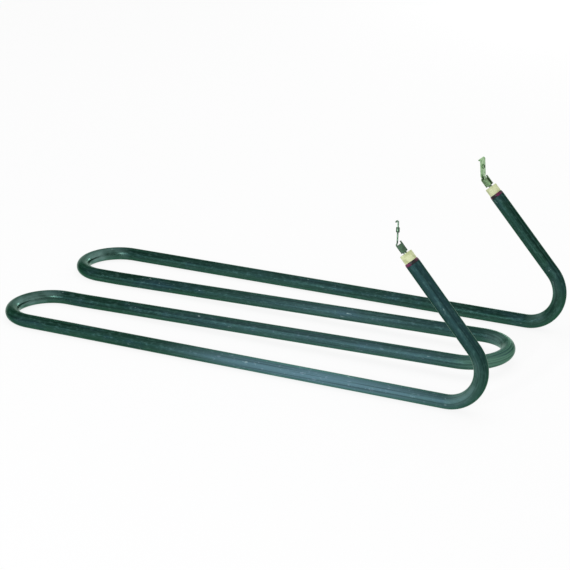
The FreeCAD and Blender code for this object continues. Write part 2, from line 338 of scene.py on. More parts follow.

# %% [markdown]
# ## Coordinates that follow the tube
#
# The skin of a drawn tube has marks that run along it, round every bend. Plain object
# coordinates would cut straight across the bends. So each vertex keeps where it would be if the
# tube were straight again: two values across the tube and one along it. A second attribute says
# how much a tight bend has worked the metal there: a little all round, and most on its inner
# side, where it is squeezed. The finish burnishes it there, and lays a painted pale reflection
# on it.

# %% Store the straight-tube coordinates
STOP_PLACES = np.array([tuple(stop[0]) for stop in tube_stops])
STOP_SIDES = np.array([tuple(stop[1]) for stop in tube_stops])
STOP_ALONG = np.array([stop[2] for stop in tube_stops])
STOP_SQUEEZE = np.array([tuple(stop[3]) for stop in tube_stops])
WORKED_ALL_ROUND = 0.3
SQUEEZED_INSIDE = 0.7


def straighten(piece):
    """Writes each vertex's place on the straightened tube, in metres, and how squeezed it is."""
    points = np.array([tuple(vertex.co) for vertex in piece.data.vertices])
    apart = ((points[:, None, :] - STOP_PLACES[None, :, :]) ** 2).sum(2)
    stop = apart.argmin(1)
    arms = points - STOP_PLACES[stop]
    sideways = (arms * STOP_SIDES[stop]).sum(1)
    headings = np.gradient(STOP_PLACES, axis=0)
    headings /= np.linalg.norm(headings, axis=1)[:, None]
    upwards = (arms * np.cross(headings, STOP_SIDES)[stop]).sum(1)
    unbent = np.stack([sideways, upwards, STOP_ALONG[stop]], 1)
    place = piece.data.attributes.new("unbent", "FLOAT_VECTOR", "POINT")
    place.data.foreach_set("vector", unbent.astype(np.float32).ravel())
    depth = np.linalg.norm(STOP_SQUEEZE, axis=1)[stop]
    inner = (arms * STOP_SQUEEZE[stop]).sum(1) / TUBE_RADIUS
    squeezed = (WORKED_ALL_ROUND * depth + SQUEEZED_INSIDE * inner).clip(0, 1)
    shares = piece.data.attributes.new("squeezed", "FLOAT", "POINT")
    shares.data.foreach_set("value", squeezed.astype(np.float32))
    return unbent


unbent = straighten(sheath)
print("straight tube reaches", unbent.min(0).round(4), unbent.max(0).round(4))

# %% Hand the sheath to the frame
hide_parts("sheath")
settle(sheath)

# %% [markdown]
# ## Sizes of the terminals
#
# Everything at a terminal is stacked on the tube's mouth, so its heights are counted from there,
# out of the tube: the seal's bead, the bush that stands in the bead, and the tag's crimp above
# the bush. Pieces that fit tightly are kept 0.02 mm apart, as in the CAD model.

# %% Sizes of the terminals
FIT_GAP = 0.02 * MM
PIN_RADIUS = 1.2 * MM
PIN_DEPTH = 48 * MM
PIN_RECESS = 0.2 * MM
SEAL_DEPTH = 9 * MM
BEAD_HEIGHT = 2 * MM
BUSH_RADIUS = 3.8 * MM
BUSH_SEAT = 1.5 * MM
BUSH_STAND = 5.2 * MM
CRIMP_SPACE = 0.9 * MM
CRIMP_LENGTH = 5.1 * MM

BUSH_FOOT = BEAD_HEIGHT - BUSH_SEAT
BUSH_TOP = BEAD_HEIGHT + BUSH_STAND
TAG_FOOT = BUSH_TOP + CRIMP_SPACE
CRIMP_TOP = TAG_FOOT + CRIMP_LENGTH
PIN_TOP = CRIMP_TOP - PIN_RECESS
print(f"over the mouth: bush to {BUSH_TOP / MM:.1f} mm, pin to {PIN_TOP / MM:.1f} mm,",
      f"crimp to {CRIMP_TOP / MM:.1f} mm")

# %% [markdown]
# ## Turned pieces
#
# Seal, bush and pin are round about the leg's axis. Each is walked as a half section: a ring is
# extruded, moved up or down and made wider or narrower, station by station. A sleeve's section
# closes on its first ring, and a bar's two ends are filled, so no skin is left open.

# %% Walk a ring through its stations
TURNED_SIDES = 48


def walk_ring(name, stations):
    """A round solid about local Z. Each station is a radius and a height."""
    let_go()
    radius, height = stations[0]
    bpy.ops.mesh.primitive_circle_add(
        vertices=TURNED_SIDES, radius=radius, fill_type="NOTHING", location=(0, 0, height))
    piece = bpy.context.object
    piece.name = name
    bpy.ops.object.transform_apply(location=True, rotation=False, scale=False)
    bpy.ops.object.mode_set(mode="EDIT")
    bpy.ops.mesh.select_all(action="SELECT")
    for next_radius, next_height in stations[1:]:
        bpy.ops.mesh.extrude_region_move(
            TRANSFORM_OT_translate={"value": (0, 0, next_height - height)})
        wider = next_radius / radius
        bpy.ops.transform.resize(value=(wider, wider, 1), center_override=(0, 0, next_height))
        radius = next_radius
        height = next_height
    bpy.ops.object.mode_set(mode="OBJECT")
    return piece


def close_loop_at(piece, height):
    """Fills the open loop of edges that lies at a height."""
    pick(piece, "EDIT")
    pick_vertices(piece, lambda co: abs(co.z - height) < NEAR)
    bpy.ops.mesh.edge_face_add()
    bpy.ops.object.mode_set(mode="OBJECT")


# %% Soften rims and stand a piece on its leg
def soften(piece, wanted, width, segments=3):
    """Bevels the edges that the test wants."""
    pick(piece, "EDIT")
    pick_edges(piece, wanted)
    bpy.ops.mesh.bevel(offset=width, segments=segments, profile=0.5, affect="EDGES")
    bpy.ops.object.mode_set(mode="OBJECT")


def rim_test(radius, height):
    """A test for the edges of the ring at that radius and height."""

    def wanted(edge):
        ends = [vertex.co for vertex in edge.verts]
        return all(abs(end.z - height) < NEAR and abs(end.xy.length - radius) < NEAR
                   for end in ends)

    return wanted


def stand_on_leg(piece, side):
    """Moves a piece from the origin to a leg's mouth, local Z out of the tube."""
    piece.matrix_world = Matrix.Translation(leg_mouth(side)) @ leg_tilt(side).to_4x4()


# %% [markdown]
# ## Cold pins
#
# The pin brings the current out of the hot zone. Little of it shows: a collar between the bush
# and the tag, and a stripe of its side in the slot of the tag's crimp.

# %% Make the pins
PIN_CHAMFER = 0.35 * MM


def make_pin(place, side):
    """A plain bar, closed at both ends and chamfered at the top."""
    pin = walk_ring(f"cold_pin_{place}", [(PIN_RADIUS, -PIN_DEPTH), (PIN_RADIUS, PIN_TOP)])
    for height in (-PIN_DEPTH, PIN_TOP):
        close_loop_at(pin, height)
    close_up(pin)
    soften(pin, rim_test(PIN_RADIUS, PIN_TOP), PIN_CHAMFER, segments=2)
    smooth(pin)
    stand_on_leg(pin, side)
    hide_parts(f"terminal_pin_{place}")
    settle(pin)
    return pin


pins = [make_pin(place, side) for place, side in SIDES.items()]

# %% [markdown]
# ## End seals
#
# The seal keeps damp out of the powder. It is poured as a liquid resin, so it levels into a
# low bead on the tube's rim that is never quite even. The bead is walked as a soft curve, listed
# below as how far each ring stands out past the tube and how high it lies. A Displace modifier
# on a cloud texture then makes it uneven. The texture runs from 0 to 1 and moves nothing at its
# middle level, so a bead falls in by up to a quarter of a millimetre and stands out by less.

# %% Make the seals
BEAD_BULGES = [
    (-0.12 * MM, FIT_GAP),
    (0.02 * MM, 0.25 * MM),
    (0.06 * MM, 0.8 * MM),
    (0.02 * MM, 1.4 * MM),
    (-0.1 * MM, 1.8 * MM),
    (-0.28 * MM, BEAD_HEIGHT),
]
BEAD_UNEVEN = 0.45 * MM
BEAD_MIDDLE_LEVEL = 0.6
BEAD_WAVE = 2.6 * MM


def make_seal(place, side):
    """A plug in the tube and an uneven bead on its rim, with a recess for the bush."""
    pin = PIN_RADIUS + FIT_GAP
    bore = TUBE_BORE - FIT_GAP
    bush = BUSH_RADIUS + FIT_GAP
    foot = BUSH_FOOT - FIT_GAP
    bead = [(TUBE_RADIUS + bulge, height) for bulge, height in BEAD_BULGES]
    seal = walk_ring(f"resin_seal_{place}", [
        (pin, -SEAL_DEPTH),
        (bore, -SEAL_DEPTH),
        (bore, FIT_GAP),
        *bead,
        (bush, BEAD_HEIGHT),
        (bush, foot),
        (pin, foot),
        (pin, -SEAL_DEPTH),
    ])
    close_up(seal)
    bead_points = [vertex.index for vertex in seal.data.vertices
                   if vertex.co.z > FIT_GAP + NEAR and vertex.co.xy.length > bush + NEAR]
    group = seal.vertex_groups.new(name="bead")
    group.add(bead_points, 1.0, "REPLACE")
    uneven = seal.modifiers.new("uneven", "DISPLACE")
    clouds = bpy.data.textures.new(f"bead_waves_{place}", "CLOUDS")
    clouds.noise_scale = BEAD_WAVE
    uneven.texture = clouds
    uneven.vertex_group = "bead"
    uneven.strength = BEAD_UNEVEN
    uneven.mid_level = BEAD_MIDDLE_LEVEL
    apply_modifiers(seal)
    smooth(seal, degrees=50)
    stand_on_leg(seal, side)
    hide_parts(f"end_seal_{place}")
    settle(seal)
    return seal


seals = [make_seal(place, side) for place, side in SIDES.items()]

# %% [markdown]
# ## Ceramic bushes
#
# A bush is pressed from steatite powder and fired. Its edges come out of the die slightly
# round, and nothing else on it is sharp or shiny, so small bevels on a plain sleeve are enough.

# %% Make the bushes
BUSH_EDGE = 0.35 * MM
BUSH_BORE_EDGE = 0.2 * MM


def make_bush(place, side):
    """A pressed sleeve that stands in the seal's bead, with the pin through it."""
    pin = PIN_RADIUS + FIT_GAP
    bush = walk_ring(f"steatite_bush_{place}", [
        (pin, BUSH_FOOT),
        (BUSH_RADIUS, BUSH_FOOT),
        (BUSH_RADIUS, BUSH_TOP),
        (pin, BUSH_TOP),
        (pin, BUSH_FOOT),
    ])
    close_up(bush)
    soften(bush, rim_test(BUSH_RADIUS, BUSH_TOP), BUSH_EDGE)
    soften(bush, rim_test(BUSH_RADIUS, BUSH_FOOT), BUSH_EDGE)
    soften(bush, rim_test(pin, BUSH_TOP), BUSH_BORE_EDGE)
    smooth(bush)
    stand_on_leg(bush, side)
    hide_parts(f"ceramic_bush_{place}")
    settle(bush)
    return bush


bushes = [make_bush(place, side) for place, side in SIDES.items()]

# %% [markdown]
# ## Terminal tags
#
# A tag starts as a flat blank of plated strip. Its foot is wrapped round the pin and pressed
# square, its neck is cranked over the pin's end, and its tip is curled back so that a hooked
# wire can't slip off. The wire hole is pierced and drawn, which leaves a raised rim on both
# faces. Here the strip, the wrapped foot and the rim are made one by one and joined with
# Boolean modifiers, and the wire hole is cut through last.

# %% Sizes of a tag
STRIP = 0.8 * MM
CRIMP_ROUND = 0.45 * MM
CRIMP_SLOT = 1.8 * MM
EAR_RISE = 1.3 * MM
NECK_LEAN = math.radians(62)
NECK_BEND_RADIUS = 1 * MM
NECK_STEP = 0.5 * MM
NECK_WIDTH = 3.4 * MM
SHOULDER = 0.9 * MM
BLADE_LEAN = math.radians(38)
BLADE_WIDTH = 6.3 * MM
BLADE_LENGTH = 11.3 * MM
HOLE_RADIUS = 0.8 * MM
HOLE_PLACE = 7.1 * MM
RIM_RADIUS = 1.5 * MM
RIM_HEIGHT = 0.6 * MM
CURL_ANGLE = math.radians(165)
CURL_RADIUS = 0.6 * MM
LIP_LENGTH = 0.4 * MM
TAG_TURN = {"front": math.radians(27), "rear": math.radians(-5)}

TAG_ROOT = -(PIN_RADIUS + FIT_GAP + STRIP / 2)


# %% Outlines and joins
def outline(name, width, depth, corner, segments, place):
    """A rectangle with rounded corners, as a loop of edges at a place, left in edit mode."""
    let_go()
    bpy.ops.mesh.primitive_plane_add(size=1, location=(0, 0, 0))
    piece = bpy.context.object
    piece.name = name
    bpy.ops.object.mode_set(mode="EDIT")
    bpy.ops.mesh.select_all(action="SELECT")
    bpy.ops.transform.resize(value=(width, depth, 1), center_override=(0, 0, 0))
    bpy.ops.mesh.bevel(offset=corner, segments=segments, affect="VERTICES")
    bpy.ops.mesh.delete(type="ONLY_FACE")
    bpy.ops.mesh.select_all(action="SELECT")
    bpy.ops.transform.translate(value=place)
    return piece


def combine(piece, operation, tools):
    """Joins the tools to a piece, or cuts them out of it, and throws the tools away."""
    for tool in tools:
        close_up(tool)
        join = piece.modifiers.new(tool.name, "BOOLEAN")
        join.operation = operation
        join.solver = "EXACT"
        join.object = tool
        apply_modifiers(piece)
        bpy.data.objects.remove(tool)


# %% [markdown]
# The lip's corners are round. Each pair below feeds a share of the lip and then makes it that
# much narrower, so four short steps follow the round.

# %% Width changes
LIP_ROUND = [(0.35, 1.0), (0.3, 0.96), (0.2, 0.93), (0.15, 0.88)]


def widen(wider, place):
    """Makes the selected loop wider or narrower across the strip."""
    bpy.ops.transform.resize(value=(1, wider, 1), center_override=place)


# %% [markdown]
# The strip is led by its middle line, from the foot up: along the pin, over the pin's end at the
# neck, along the blade, and round the curl. Its section is widened once, from neck to blade.

# %% Bend a strip
TAG_STEP = math.radians(10)
CORNER_ROUND = 0.14 * MM
CORNER_SEGMENTS = 2


def bend_strip(name):
    """The strip from its foot to its lip, and the blade's start and heading."""
    foot = Vector((TAG_ROOT, 0, TAG_FOOT))
    strip = outline(name, STRIP, NECK_WIDTH, CORNER_ROUND, CORNER_SEGMENTS, foot)
    path = Bender(foot, UP, ACROSS)
    path.feed(CRIMP_LENGTH)
    path.bend(NECK_BEND_RADIUS, NECK_LEAN, ACROSS, TAG_STEP)
    path.feed(NECK_STEP)
    path.bend(NECK_BEND_RADIUS, NECK_LEAN - BLADE_LEAN, -ACROSS, TAG_STEP)
    blade_start = path.place.copy()
    blade_heading = path.heading.copy()
    path.feed(SHOULDER)
    widen(BLADE_WIDTH / NECK_WIDTH, path.place)
    path.feed(BLADE_LENGTH - SHOULDER)
    path.bend(CURL_RADIUS, CURL_ANGLE, -ACROSS, TAG_STEP)
    for share, narrower in LIP_ROUND:
        path.feed(LIP_LENGTH * share)
        widen(narrower, path.place)
    bpy.ops.mesh.edge_face_add()
    bpy.ops.object.mode_set(mode="OBJECT")
    close_loop_at(strip, TAG_FOOT)
    close_up(strip)
    print(f"{name}: the strip's flat length is {path.along / MM:.1f} mm")
    return strip, blade_start, blade_heading


# %% [markdown]
# The foot is a squared sleeve. The pin's room, the slot between the two ears and the room for
# the neck are cut out of it. Each cutter reaches past the foot, so that no thin skin is left.

# %% Wrap the foot
CRIMP_SEGMENTS = 4
CUTTER_DEPTH = 4 * CRIMP_LENGTH


def wrap_foot(name):
    """The squared sleeve round the pin: a back, two sides, and two taller ears with a slot."""
    side = 2 * (PIN_RADIUS + FIT_GAP + STRIP)
    sleeve = outline(name, side, side, CRIMP_ROUND, CRIMP_SEGMENTS, (0, 0, TAG_FOOT))
    bpy.ops.mesh.extrude_region_move(TRANSFORM_OT_translate={"value": (0, 0, CRIMP_LENGTH)})
    bpy.ops.mesh.extrude_region_move(TRANSFORM_OT_translate={"value": (0, 0, EAR_RISE)})
    bpy.ops.object.mode_set(mode="OBJECT")
    close_loop_at(sleeve, TAG_FOOT)
    close_loop_at(sleeve, CRIMP_TOP + EAR_RISE)
    close_up(sleeve)

    let_go()
    bpy.ops.mesh.primitive_cylinder_add(
        vertices=TURNED_SIDES, radius=PIN_RADIUS + FIT_GAP, depth=CUTTER_DEPTH,
        location=(0, 0, CRIMP_TOP))
    pin_room = bpy.context.object
    bpy.ops.mesh.primitive_cube_add(size=1, location=(PIN_RADIUS, 0, CRIMP_TOP))
    slot = bpy.context.object
    slot.scale = (2 * PIN_RADIUS, CRIMP_SLOT, CUTTER_DEPTH)
    bpy.ops.mesh.primitive_cube_add(
        size=1, location=(PIN_RADIUS + FIT_GAP - side / 2, 0, CRIMP_TOP + CRIMP_LENGTH / 2))
    neck_room = bpy.context.object
    neck_room.scale = (side, 2 * side, CRIMP_LENGTH)
    combine(sleeve, "DIFFERENCE", [pin_room, slot, neck_room])
    return sleeve


# %% [markdown]
# The weld that holds the pin has darkened the foot, and the wall of the pierced hole is painted
# dark, as the shade inside it. So each vertex keeps how dark it is, and the finish reads that
# later.

# %% Mark the welded foot and the painted shade in the hole
TAG_EDGE = 0.09 * MM
NECK_TOP = CRIMP_TOP + NECK_BEND_RADIUS + SHOULDER


def mark_weld_and_hole_shade(tag, hole_centre, hole_axis):
    """Writes each vertex's darkness: 1 at the weld and the hole's painted shade, 0 on the blade.
    """
    points = np.array([tuple(vertex.co) for vertex in tag.data.vertices])
    dark = ((NECK_TOP - points[:, 2]) / (NECK_TOP - CRIMP_TOP)).clip(0, 1)
    off_axis = np.linalg.norm(np.cross(points - hole_centre, hole_axis), axis=1)
    # The wall of the wire hole is painted dark, as the shade inside it
    dark[off_axis < HOLE_RADIUS + TAG_EDGE + NEAR] = 1
    shares = tag.data.attributes.new("dark", "FLOAT", "POINT")
    shares.data.foreach_set("value", dark.astype(np.float32))


# %% Make the tags
RIM_EDGE = 0.25 * MM
HOLE_CUTTER_DEPTH = 6 * STRIP
REAL_EDGE_DEGREES = 40


def make_tag(place, side):
    """Strip, wrapped foot and drawn rim in one, with the wire hole through it."""
    tag, blade_start, blade_heading = bend_strip(f"plated_tag_{place}")
    facing = ACROSS.cross(blade_heading).to_track_quat("Z", "Y").to_euler()
    hole_centre = blade_start + blade_heading * HOLE_PLACE

    let_go()
    bpy.ops.mesh.primitive_cylinder_add(
        vertices=TURNED_SIDES, radius=RIM_RADIUS, depth=STRIP + 2 * RIM_HEIGHT)
    rim = bpy.context.object
    for end in (-1, 1):
        soften(rim, rim_test(RIM_RADIUS, end * (STRIP / 2 + RIM_HEIGHT)), RIM_EDGE)
    rim.location = hole_centre
    rim.rotation_euler = facing
    bpy.ops.mesh.primitive_cylinder_add(
        vertices=TURNED_SIDES, radius=HOLE_RADIUS, depth=HOLE_CUTTER_DEPTH,
        location=hole_centre, rotation=facing)
    hole = bpy.context.object

    combine(tag, "UNION", [wrap_foot(f"foot_{place}"), rim])
    combine(tag, "DIFFERENCE", [hole])
    edges = tag.modifiers.new("edges", "BEVEL")
    edges.width = TAG_EDGE
    edges.segments = 2
    edges.limit_method = "ANGLE"
    edges.angle_limit = math.radians(REAL_EDGE_DEGREES)
    apply_modifiers(tag)
    smooth(tag, degrees=REAL_EDGE_DEGREES)
    mark_weld_and_hole_shade(tag, hole_centre, ACROSS.cross(blade_heading))
    stand_on_leg(tag, side)
    tag.matrix_world = tag.matrix_world @ Matrix.Rotation(TAG_TURN[place], 4, UP)
    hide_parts(f"terminal_tag_{place}")
    settle(tag)
    return tag


tags = [make_tag(place, side) for place, side in SIDES.items()]

# %% [markdown]
# ## Materials: the helpers
#
# Colours are picked as sRGB hex values, as a paint chart gives them, and the shader wants them
# linear. One function turns them. A second adds any node, with its settings and its links. A
# third lays one coat of colour over what is under it: only where a pattern says so, with a soft
# edge, and never more than the share asked for. The fourth ends a finish with its fine relief.
# The last two start an empty material and put a finished one on its piece.

# %% Colour and node helpers
# A Mix node has sockets for several kinds of data. These are the numbers of its colour ones.
MIX_FACTOR = 0
MIX_A = 6
MIX_B = 7
MIX_RESULT = 2


def linear(hex_colour):
    """An sRGB hex colour as the linear values that the shader wants."""
    parts = [int(hex_colour[n:n + 2], 16) / 255 for n in (1, 3, 5)]
    return [c / 12.92 if c <= 0.04045 else ((c + 0.055) / 1.055) ** 2.4 for c in parts] + [1.0]


def add(tree, kind, settings=None, inputs=None):
    """Adds a node, sets its properties, and gives each input a value or a link."""
    made = tree.nodes.new(kind)
    for name, value in (settings or {}).items():
        setattr(made, name, value)
    for name, value in (inputs or {}).items():
        if isinstance(value, bpy.types.NodeSocket):
            tree.links.new(value, made.inputs[name])
        else:
            made.inputs[name].default_value = value
    return made


# %% Coats and surfaces
def coat(tree, under, colour, pattern, start, full, most=1.0, within=None, blend="MIX"):
    """Lays a colour where a pattern passes from start to full, held within another share."""
    share = add(tree, "ShaderNodeMapRange", {"interpolation_type": "SMOOTHSTEP"}, {
        "Value": pattern, "From Min": start, "From Max": full, "To Max": most}).outputs["Result"]
    if within is not None:
        share = add(tree, "ShaderNodeMath", {"operation": "MULTIPLY"}, {
            0: within, 1: share}).outputs[0]
    return add(tree, "ShaderNodeMix", {"data_type": "RGBA", "blend_type": blend}, {
        MIX_FACTOR: share, MIX_A: under, MIX_B: linear(colour)}).outputs[MIX_RESULT]


def end_surface(tree, look, height, bump, depth):
    """Ends a finish: a relief from a height, the shader with its look, and the output."""
    relief = add(tree, "ShaderNodeBump", None, {
        "Height": height, "Strength": bump, "Distance": depth}).outputs["Normal"]
    shader = add(tree, "ShaderNodeBsdfPrincipled", None, {**look, "Normal": relief})
    add(tree, "ShaderNodeOutputMaterial", None, {"Surface": shader.outputs["BSDF"]})


# %% Start a material and put it on
def new_material(name):
    """An empty node material and its tree."""
    material = bpy.data.materials.new(name)
    material.use_nodes = True
    material.node_tree.nodes.clear()
    return material, material.node_tree


def dress(piece, material):
    """Gives a piece this one material."""
    piece.data.materials.clear()
    piece.data.materials.append(material)
    print(f"{piece.name} wears {material.name}, {len(material.node_tree.nodes)} nodes")


# %% [markdown]
# ## The sheath's skin
#
# The tube is nickel-chromium steel, drawn through a die and then annealed. Annealing leaves a
# thin oxide on it, green-black and softly shiny. Drawing leaves marks along the tube, so every
# pattern here reads the straight-tube coordinates, with one size across the tube and one along
# it. Real drawing lines are about a tenth of a millimetre wide and the oxide's grain is finer
# still. One pixel of the picture is two thirds of a millimetre, so both are drawn coarser, just
# wide enough to show.

# %% Patterns on the tube
TUBE_PATTERNS = {
    "streaks": {"width": 1.1 * MM, "length": 55 * MM, "detail": 4.0},
    "lines": {"width": 0.75 * MM, "length": 90 * MM, "detail": 2.0},
    "grain": {"width": 0.5 * MM, "length": 0.5 * MM, "detail": 2.0},
    "mottles": {"width": 1.5 * MM, "length": 3 * MM, "detail": 3.0},
    "specks": {"width": 1.6 * MM, "length": 3.6 * MM, "detail": 2.0},
    "blotches": {"width": 14 * MM, "length": 28 * MM, "detail": 3.0},
}


def tube_patterns(tree):
    """All that the skin's coats follow, by name, each as a value that changes over the tube."""
    unbent_place = add(tree, "ShaderNodeAttribute", {"attribute_name": "unbent"})
    worked = add(tree, "ShaderNodeAttribute", {"attribute_name": "squeezed"})
    parts = add(tree, "ShaderNodeSeparateXYZ", None, {0: unbent_place.outputs["Vector"]})
    normal = add(tree, "ShaderNodeNewGeometry").outputs["Normal"]
    on = {
        "sideways": parts.outputs["X"],
        "along": parts.outputs["Z"],
        "upward": add(tree, "ShaderNodeSeparateXYZ", None, {0: normal}).outputs["Z"],
        "squeezed": worked.outputs["Fac"],
        "glancing": add(tree, "ShaderNodeLayerWeight", None, {"Blend": 0.5}).outputs["Facing"],
    }
    for name, size in TUBE_PATTERNS.items():
        across = 1 / size["width"]
        scaled = add(tree, "ShaderNodeVectorMath", {"operation": "MULTIPLY"}, {
            0: unbent_place.outputs["Vector"], 1: (across, across, 1 / size["length"])})
        on[name] = add(tree, "ShaderNodeTexNoise", None, {
            "Vector": scaled.outputs[0], "Scale": 1.0, "Detail": size["detail"],
            "Roughness": 0.6}).outputs["Fac"]
    return on


# %% [markdown]
# The tube has been used and handled. The runs are painted a matt blue grey in their middle,
# most of all in front. This is a painted sheen, as a soft lamp lays across them, and on the front
# run it also stands for an oxide that handling has wiped paler. The hairpin's nose is scuffed on
# its outer side.
# Each such place is written as its middle along the tube, how far it reaches, where it is full,
# and how strong it is there.

# %% Wiped places with a painted sheen, and the scuffed nose
WIPED_AND_SHEEN_PLACES = [
    {"middle": 183 * MM, "reach": 122 * MM, "full": 0.0, "most": 0.86},
    {"middle": 660 * MM, "reach": 175 * MM, "full": 0.0, "most": 0.23},
    {"middle": 890 * MM, "reach": 120 * MM, "full": 0.0, "most": 0.22},
    {"middle": 1275 * MM, "reach": 160 * MM, "full": 0.0, "most": 0.06},
]
SCUFFED_NOSE = {"middle": 760 * MM, "reach": 42 * MM, "full": 18 * MM, "most": 0.8}
SCUFF_EDGE = -1 * MM
SCUFF_FULL = 2.5 * MM


def near_place(tree, along, middle, reach, full, most):
    """0 beyond a place's reach along the tube, and the most where it is full."""
    offset = add(tree, "ShaderNodeMath", {"operation": "SUBTRACT"}, {
        0: along, 1: middle}).outputs[0]
    apart = add(tree, "ShaderNodeMath", {"operation": "ABSOLUTE"}, {0: offset}).outputs[0]
    return add(tree, "ShaderNodeMapRange", {"interpolation_type": "SMOOTHSTEP"}, {
        "Value": apart, "From Min": reach, "From Max": full, "To Max": most}).outputs["Result"]


def add_used_places(tree, on):
    """Adds the wiped places with their painted sheen, and how scuffed each point is, to the named
    patterns.
    """
    on["wiped"] = 0.0
    for place in WIPED_AND_SHEEN_PLACES:
        here = near_place(tree, on["along"], **place)
        on["wiped"] = add(tree, "ShaderNodeMath", {"operation": "ADD"}, {
            0: here, 1: on["wiped"]}).outputs[0]
    nose = near_place(tree, on["along"], **SCUFFED_NOSE)
    outside = add(tree, "ShaderNodeMapRange", {"interpolation_type": "SMOOTHSTEP"}, {
        "Value": on["sideways"], "From Min": SCUFF_EDGE, "From Max": SCUFF_FULL}).outputs["Result"]
    on["scuffed"] = add(tree, "ShaderNodeMath", {"operation": "MULTIPLY"}, {
        0: nose, 1: outside}).outputs[0]


# %% [markdown]
# The skin's colour is laid coat by coat, from the deepest one up. Layer Weight gives the angle
# at which the skin is seen. Where the tube faces the camera it stays bluer, and towards its sides
# it turns greener and darker, which paints the soft sheen along the middle of the runs. Right at
# the outline, a painted pale highlight runs along the tube. The film is also bluer on the front
# leg. The underside is painted paler, as the white floor's reflection in it, and the inner side
# of a tight bend is painted paler, as the light it reflects. Handling leaves a few pale specks.

# %% Coats of the skin
BLUE_LEG_END = 85 * MM
BLUE_LEG_FULL = 40 * MM


def skin_colour(tree, on):
    """The oxide's colour over the whole tube, with its painted sheen, highlight and reflections.
    """
    # Dark drawn streaks, a painted reflection of the floor that makes the underside paler,
    # bluer blotches and the bluer front leg
    skin = coat(tree, linear("#0F2820"), "#25433A", on["streaks"], start=0.35, full=0.7)
    skin = coat(tree, skin, "#3C6655", on["upward"], start=0.6, full=-0.5, most=0.5)
    skin = coat(tree, skin, "#2B444D", on["blotches"], start=0.45, full=0.7, most=0.5)
    skin = coat(tree, skin, "#284147", on["along"], start=BLUE_LEG_END, full=BLUE_LEG_FULL,
                most=0.7)

    # The wiped places, with the painted blue grey sheen of a soft lamp, and the faint scratches in
    # them
    skin = add(tree, "ShaderNodeMix", {"data_type": "RGBA"}, {
        MIX_FACTOR: on["wiped"], MIX_A: skin, MIX_B: linear("#688A95")}).outputs[MIX_RESULT]
    skin = coat(tree, skin, "#8FA6B4", on["specks"], start=0.6, full=0.68, most=0.5,
                within=on["wiped"])

    # The greener glance, which darkens the sides of the tube and so paints the sheen along the
    # middle of the runs, the painted pale reflection on the inner side of the bends, and the
    # scuffed nose
    skin = coat(tree, skin, "#D2FFDC", on["glancing"], start=0.2, full=0.7, blend="MULTIPLY")
    # Painted pale reflection on the inner side of the tight bends
    skin = coat(tree, skin, "#6F8F88", on["blotches"], start=0.3, full=0.6, most=0.9,
                within=on["squeezed"])
    skin = coat(tree, skin, "#5E8773", on["streaks"], start=0.3, full=0.6, within=on["scuffed"])

    # Pale mottles, dark lines, specks that keep to some blotches, and a painted pale highlight
    # along the outline
    skin = coat(tree, skin, "#547A74", on["mottles"], start=0.48, full=0.7, most=0.24)
    skin = coat(tree, skin, "#10231F", on["lines"], start=0.53, full=0.64, most=0.4)
    handled = add(tree, "ShaderNodeMapRange", {"interpolation_type": "SMOOTHSTEP"}, {
        "Value": on["blotches"], "From Min": 0.52, "From Max": 0.64}).outputs["Result"]
    skin = coat(tree, skin, "#8FA8A0", on["specks"], start=0.66, full=0.72, most=0.6,
                within=handled)
    return coat(tree, skin, "#B4CCC2", on["glancing"], start=0.6, full=0.9, most=0.45)


# %% [markdown]
# The oxide is satin. It is matt at the wiped places, where the sheen is painted, and a bending
# die burnishes the inner side of a bend, where two small glints show it. The metal's Specular
# Tint colours what it mirrors at a glancing angle, here a pale green grey.

# %% Gloss of the skin
SATIN = 0.46
WIPED_AND_SHEEN_MATT = 0.8
BURNISHED = 0.18
GRAIN_IN_RELIEF = 0.25


def skin_roughness(tree, on):
    """Satin, matt where the sheen is painted, and burnished in the bends outside it."""
    matt = add(tree, "ShaderNodeMapRange", None, {
        "Value": on["wiped"], "To Min": SATIN, "To Max": WIPED_AND_SHEEN_MATT}).outputs["Result"]
    unwiped = add(tree, "ShaderNodeMapRange", {"interpolation_type": "SMOOTHSTEP"}, {
        "Value": on["wiped"], "From Min": 0.05, "From Max": 0.01}).outputs["Result"]
    burnished = add(tree, "ShaderNodeMath", {"operation": "MULTIPLY"}, {
        0: on["squeezed"], 1: unwiped}).outputs[0]
    return add(tree, "ShaderNodeMapRange", None, {
        "Value": burnished, "To Min": matt, "To Max": BURNISHED}).outputs["Result"]


def oxidised_tube_steel():
    """Annealed steel: a satin metal, green-black by its oxide, with relief along the tube."""
    material, tree = new_material("oxidised_drawn_tube_steel")
    on = tube_patterns(tree)
    add_used_places(tree, on)
    height = add(tree, "ShaderNodeMath", {"operation": "MULTIPLY_ADD"}, {
        0: on["grain"], 1: GRAIN_IN_RELIEF, 2: on["streaks"]}).outputs[0]
    look = {"Base Color": skin_colour(tree, on), "Metallic": 1.0,
            "Roughness": skin_roughness(tree, on), "Specular Tint": linear("#BCCAC2")}
    end_surface(tree, look, height, bump=0.3, depth=0.05 * MM)
    return material


dress(sheath, oxidised_tube_steel())

# %% [markdown]
# ## Sealing resin
#
# The seal is a silicone resin, poured and cured. It cures smooth and a little glossy, and its
# pigment has settled in clouds, so it goes from almost black to a deep magenta.

# %% Red sealing resin
RESIN_CLOUD = 4.2 * MM


def sealing_resin():
    """Cloudy dark red resin with a soft gloss."""
    material, tree = new_material("poured_silicone_resin")
    place = add(tree, "ShaderNodeTexCoord").outputs["Object"]
    clouds = add(tree, "ShaderNodeTexNoise", None, {
        "Vector": place, "Scale": 1 / RESIN_CLOUD, "Detail": 2.0}).outputs["Fac"]
    colour = coat(tree, linear("#0E0308"), "#640F42", clouds, start=0.47, full=0.63)
    look = {"Base Color": colour, "Roughness": 0.38, "IOR": 1.4}
    end_surface(tree, look, clouds, bump=0.3, depth=0.1 * MM)
    return material


resin = sealing_resin()
for seal in seals:
    dress(seal, resin)

